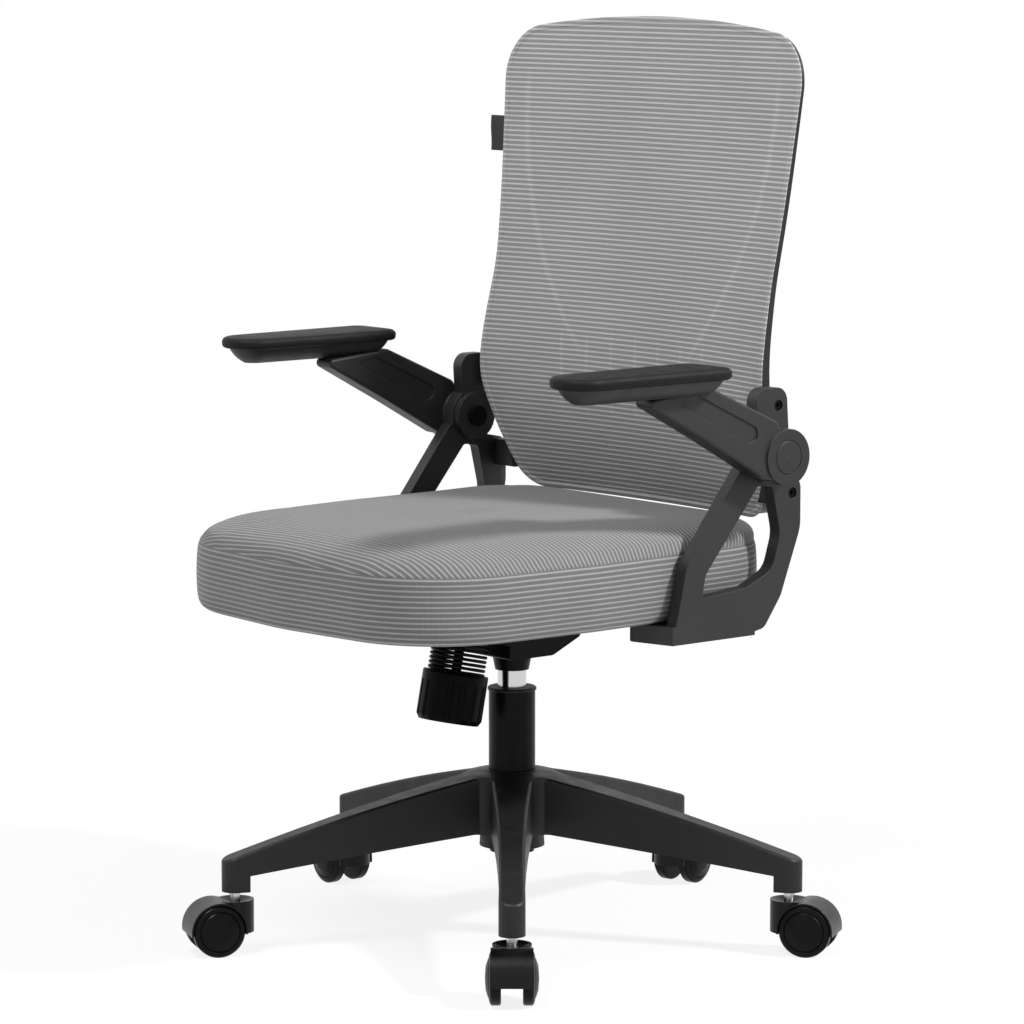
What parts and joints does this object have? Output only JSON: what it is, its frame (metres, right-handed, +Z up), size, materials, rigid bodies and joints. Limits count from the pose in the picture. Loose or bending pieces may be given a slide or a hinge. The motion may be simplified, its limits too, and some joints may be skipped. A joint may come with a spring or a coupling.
{
  "type": "office chair",
  "caption": "Swivel office chair with a mesh back, padded seat, flip-up arms, gas lift, tilt mechanism and a star base on twin-wheel casters.",
  "frame": {"origin": "on the floor under the column's axis", "axes": "+Z up, the sitter faces -Y, the sitter's left is +X"},
  "size_m": [0.6383, 0.6563, 0.9219],
  "materials": {
    "nylon": "black glass-filled nylon, fine spark texture",
    "caster_shell": "black nylon, semi-gloss",
    "caster_tread": "black nylon wheels, satin",
    "bright_steel": "zinc-plated steel",
    "black_steel": "black powder coat",
    "chrome": "polished chrome",
    "rubber": "black rubber",
    "pad_foam": "black skinned foam, matte",
    "seat_fabric": "mid-grey fabric with fine pale stripes",
    "back_fabric": "mid-grey mesh with fine pale stripes",
    "tag_cloth": "black woven tape, blank",
    "plywood": "moulded plywood"
  },
  "bodies": {
    "base": {"star_base": "nylon", "stand_tube": "black_steel", "guide_bush": "nylon", "thrust_bearing": "bright_steel", "retaining_clip": "bright_steel"},
    "lift_rod": {"piston_rod": "bright_steel", "bump_stop": "rubber"},
    "chassis": {"gas_cylinder": "chrome", "cone_socket": "black_steel", "mechanism_housing": "black_steel", "pivot_axle": "bright_steel", "tension_spring": "black_steel"},
    "valve": {"valve_pin": "bright_steel"},
    "lock": {"lock_slide": "black_steel"},
    "lever": {"lift_lever": "black_steel", "lever_grip": "nylon"},
    "seat_unit": {"seat_plate": "black_steel", "seat_pan": "plywood", "seat_cushion": "seat_fabric", "seat_bolts": "bright_steel", "arm_bracket_left": "nylon", "arm_bracket_right": "nylon", "bracket_bolts": "bright_steel", "arm_pivot_bolts": "black_steel", "back_frame": "nylon", "lumbar_support": "nylon", "back_mesh": "back_fabric", "back_screws": "black_steel", "edge_tag": "tag_cloth", "tension_bolt": "black_steel"},
    "knob_plate": {"spring_plate": "black_steel"},
    "knob": {"tension_knob": "nylon"},
    "arm_left": {"arm_beam_left": "nylon", "pad_support_left": "nylon", "arm_pad_left": "pad_foam", "pivot_cap_left": "nylon"},
    "arm_right": {"arm_beam_right": "nylon", "pad_support_right": "nylon", "arm_pad_right": "pad_foam", "pivot_cap_right": "nylon"},
    "caster_1": {"caster_1_hood": "caster_shell", "caster_1_pins": "bright_steel"},
    "caster_1_wheel_left": {"caster_1_wheel_left": "caster_tread"},
    "caster_1_wheel_right": {"caster_1_wheel_right": "caster_tread"},
    "caster_2": {"caster_2_hood": "caster_shell", "caster_2_pins": "bright_steel"},
    "caster_2_wheel_left": {"caster_2_wheel_left": "caster_tread"},
    "caster_2_wheel_right": {"caster_2_wheel_right": "caster_tread"},
    "caster_3": {"caster_3_hood": "caster_shell", "caster_3_pins": "bright_steel"},
    "caster_3_wheel_left": {"caster_3_wheel_left": "caster_tread"},
    "caster_3_wheel_right": {"caster_3_wheel_right": "caster_tread"},
    "caster_4": {"caster_4_hood": "caster_shell", "caster_4_pins": "bright_steel"},
    "caster_4_wheel_left": {"caster_4_wheel_left": "caster_tread"},
    "caster_4_wheel_right": {"caster_4_wheel_right": "caster_tread"},
    "caster_5": {"caster_5_hood": "caster_shell", "caster_5_pins": "bright_steel"},
    "caster_5_wheel_left": {"caster_5_wheel_left": "caster_tread"},
    "caster_5_wheel_right": {"caster_5_wheel_right": "caster_tread"}
  },
  "joints": [
    {"name": "column_swivel", "type": "hinge", "parent": "base", "child": "lift_rod", "pos_m": [0, 0, 0], "axis": [0, 0, 1], "continuous": true},
    {"name": "seat_height", "type": "slide", "parent": "lift_rod", "child": "chassis", "axis": [0, 0, 1], "range_m": [0, 0.085]},
    {"name": "seat_tilt", "type": "hinge", "parent": "chassis", "child": "seat_unit", "pos_m": [0, 0.01, 0.3175], "axis": [-1, 0, 0], "range_deg": [0, 15], "stiffness_Nm_per_rad": 160, "springref_deg": -17.19, "deforming": ["tension_spring"]},
    {"name": "knob_travel", "type": "slide", "parent": "seat_unit", "child": "knob_plate", "axis": [0, 0.2028, 0.9792], "range_m": [0, 0.004], "deforming": ["tension_spring"]},
    {"name": "knob_turn", "type": "hinge", "parent": "knob_plate", "child": "knob", "pos_m": [0, -0.066, 0.3095], "axis": [0, 0.2028, 0.9792], "range_deg": [0, 720]},
    {"name": "tilt_lock", "type": "slide", "parent": "chassis", "child": "lock", "axis": [1, 0, 0], "range_m": [0, 0.012]},
    {"name": "lift_lever", "type": "hinge", "parent": "lock", "child": "lever", "pos_m": [0, -0.024, 0.3079], "axis": [-1, 0, 0], "range_deg": [0, 8], "stiffness_Nm_per_rad": 3, "springref_deg": -14.32},
    {"name": "valve_press", "type": "slide", "parent": "chassis", "child": "valve", "axis": [0, 0, -1], "range_m": [0, 0.004]},
    {"name": "arm_flip_left", "type": "hinge", "parent": "seat_unit", "child": "arm_left", "pos_m": [0.2494, 0.131, 0.5], "axis": [-1, 0, 0], "range_deg": [0, 90]},
    {"name": "arm_flip_right", "type": "hinge", "parent": "seat_unit", "child": "arm_right", "pos_m": [-0.2494, 0.131, 0.5], "axis": [-1, 0, 0], "range_deg": [0, 90]},
    {"name": "caster_1_swivel", "type": "hinge", "parent": "base", "child": "caster_1", "pos_m": [0.22215, -0.18641, 0], "axis": [0, 0, 1], "continuous": true},
    {"name": "caster_1_wheel_left_spin", "type": "hinge", "parent": "caster_1", "child": "caster_1_wheel_left", "pos_m": [0.23786, -0.19959, 0.026], "axis": [0.6428, 0.766, 0], "continuous": true},
    {"name": "caster_1_wheel_right_spin", "type": "hinge", "parent": "caster_1", "child": "caster_1_wheel_right", "pos_m": [0.23786, -0.19959, 0.026], "axis": [0.6428, 0.766, 0], "continuous": true},
    {"name": "caster_2_swivel", "type": "hinge", "parent": "base", "child": "caster_2", "pos_m": [0.24593, 0.15368, 0], "axis": [0, 0, 1], "continuous": true},
    {"name": "caster_2_wheel_left_spin", "type": "hinge", "parent": "caster_2", "child": "caster_2_wheel_left", "pos_m": [0.26332, 0.16454, 0.026], "axis": [-0.5299, 0.848, 0], "continuous": true},
    {"name": "caster_2_wheel_right_spin", "type": "hinge", "parent": "caster_2", "child": "caster_2_wheel_right", "pos_m": [0.26332, 0.16454, 0.026], "axis": [-0.5299, 0.848, 0], "continuous": true},
    {"name": "caster_3_swivel", "type": "hinge", "parent": "base", "child": "caster_3", "pos_m": [-0.07016, 0.28139, 0], "axis": [0, 0, 1], "continuous": true},
    {"name": "caster_3_wheel_left_spin", "type": "hinge", "parent": "caster_3", "child": "caster_3_wheel_left", "pos_m": [-0.07512, 0.30128, 0.026], "axis": [-0.9703, -0.2419, 0], "continuous": true},
    {"name": "caster_3_wheel_right_spin", "type": "hinge", "parent": "caster_3", "child": "caster_3_wheel_right", "pos_m": [-0.07512, 0.30128, 0.026], "axis": [-0.9703, -0.2419, 0], "continuous": true},
    {"name": "caster_4_swivel", "type": "hinge", "parent": "base", "child": "caster_4", "pos_m": [-0.28929, 0.02023, 0], "axis": [0, 0, 1], "continuous": true},
    {"name": "caster_4_wheel_left_spin", "type": "hinge", "parent": "caster_4", "child": "caster_4_wheel_left", "pos_m": [-0.30974, 0.02166, 0.026], "axis": [-0.0698, -0.9976, 0], "continuous": true},
    {"name": "caster_4_wheel_right_spin", "type": "hinge", "parent": "caster_4", "child": "caster_4_wheel_right", "pos_m": [-0.30974, 0.02166, 0.026], "axis": [-0.0698, -0.9976, 0], "continuous": true},
    {"name": "caster_5_swivel", "type": "hinge", "parent": "base", "child": "caster_5", "pos_m": [-0.10864, -0.26888, 0], "axis": [0, 0, 1], "continuous": true},
    {"name": "caster_5_wheel_left_spin", "type": "hinge", "parent": "caster_5", "child": "caster_5_wheel_left", "pos_m": [-0.11632, -0.28789, 0.026], "axis": [0.9272, -0.3746, 0], "continuous": true},
    {"name": "caster_5_wheel_right_spin", "type": "hinge", "parent": "caster_5", "child": "caster_5_wheel_right", "pos_m": [-0.11632, -0.28789, 0.026], "axis": [0.9272, -0.3746, 0], "continuous": true}
  ],
  "couplings": [
    {"joint": "valve_press", "follows": "lift_lever", "m_per_rad": 0.027},
    {"joint": "knob_travel", "follows": "knob_turn", "m_per_rad": 0.00031831}
  ]
}
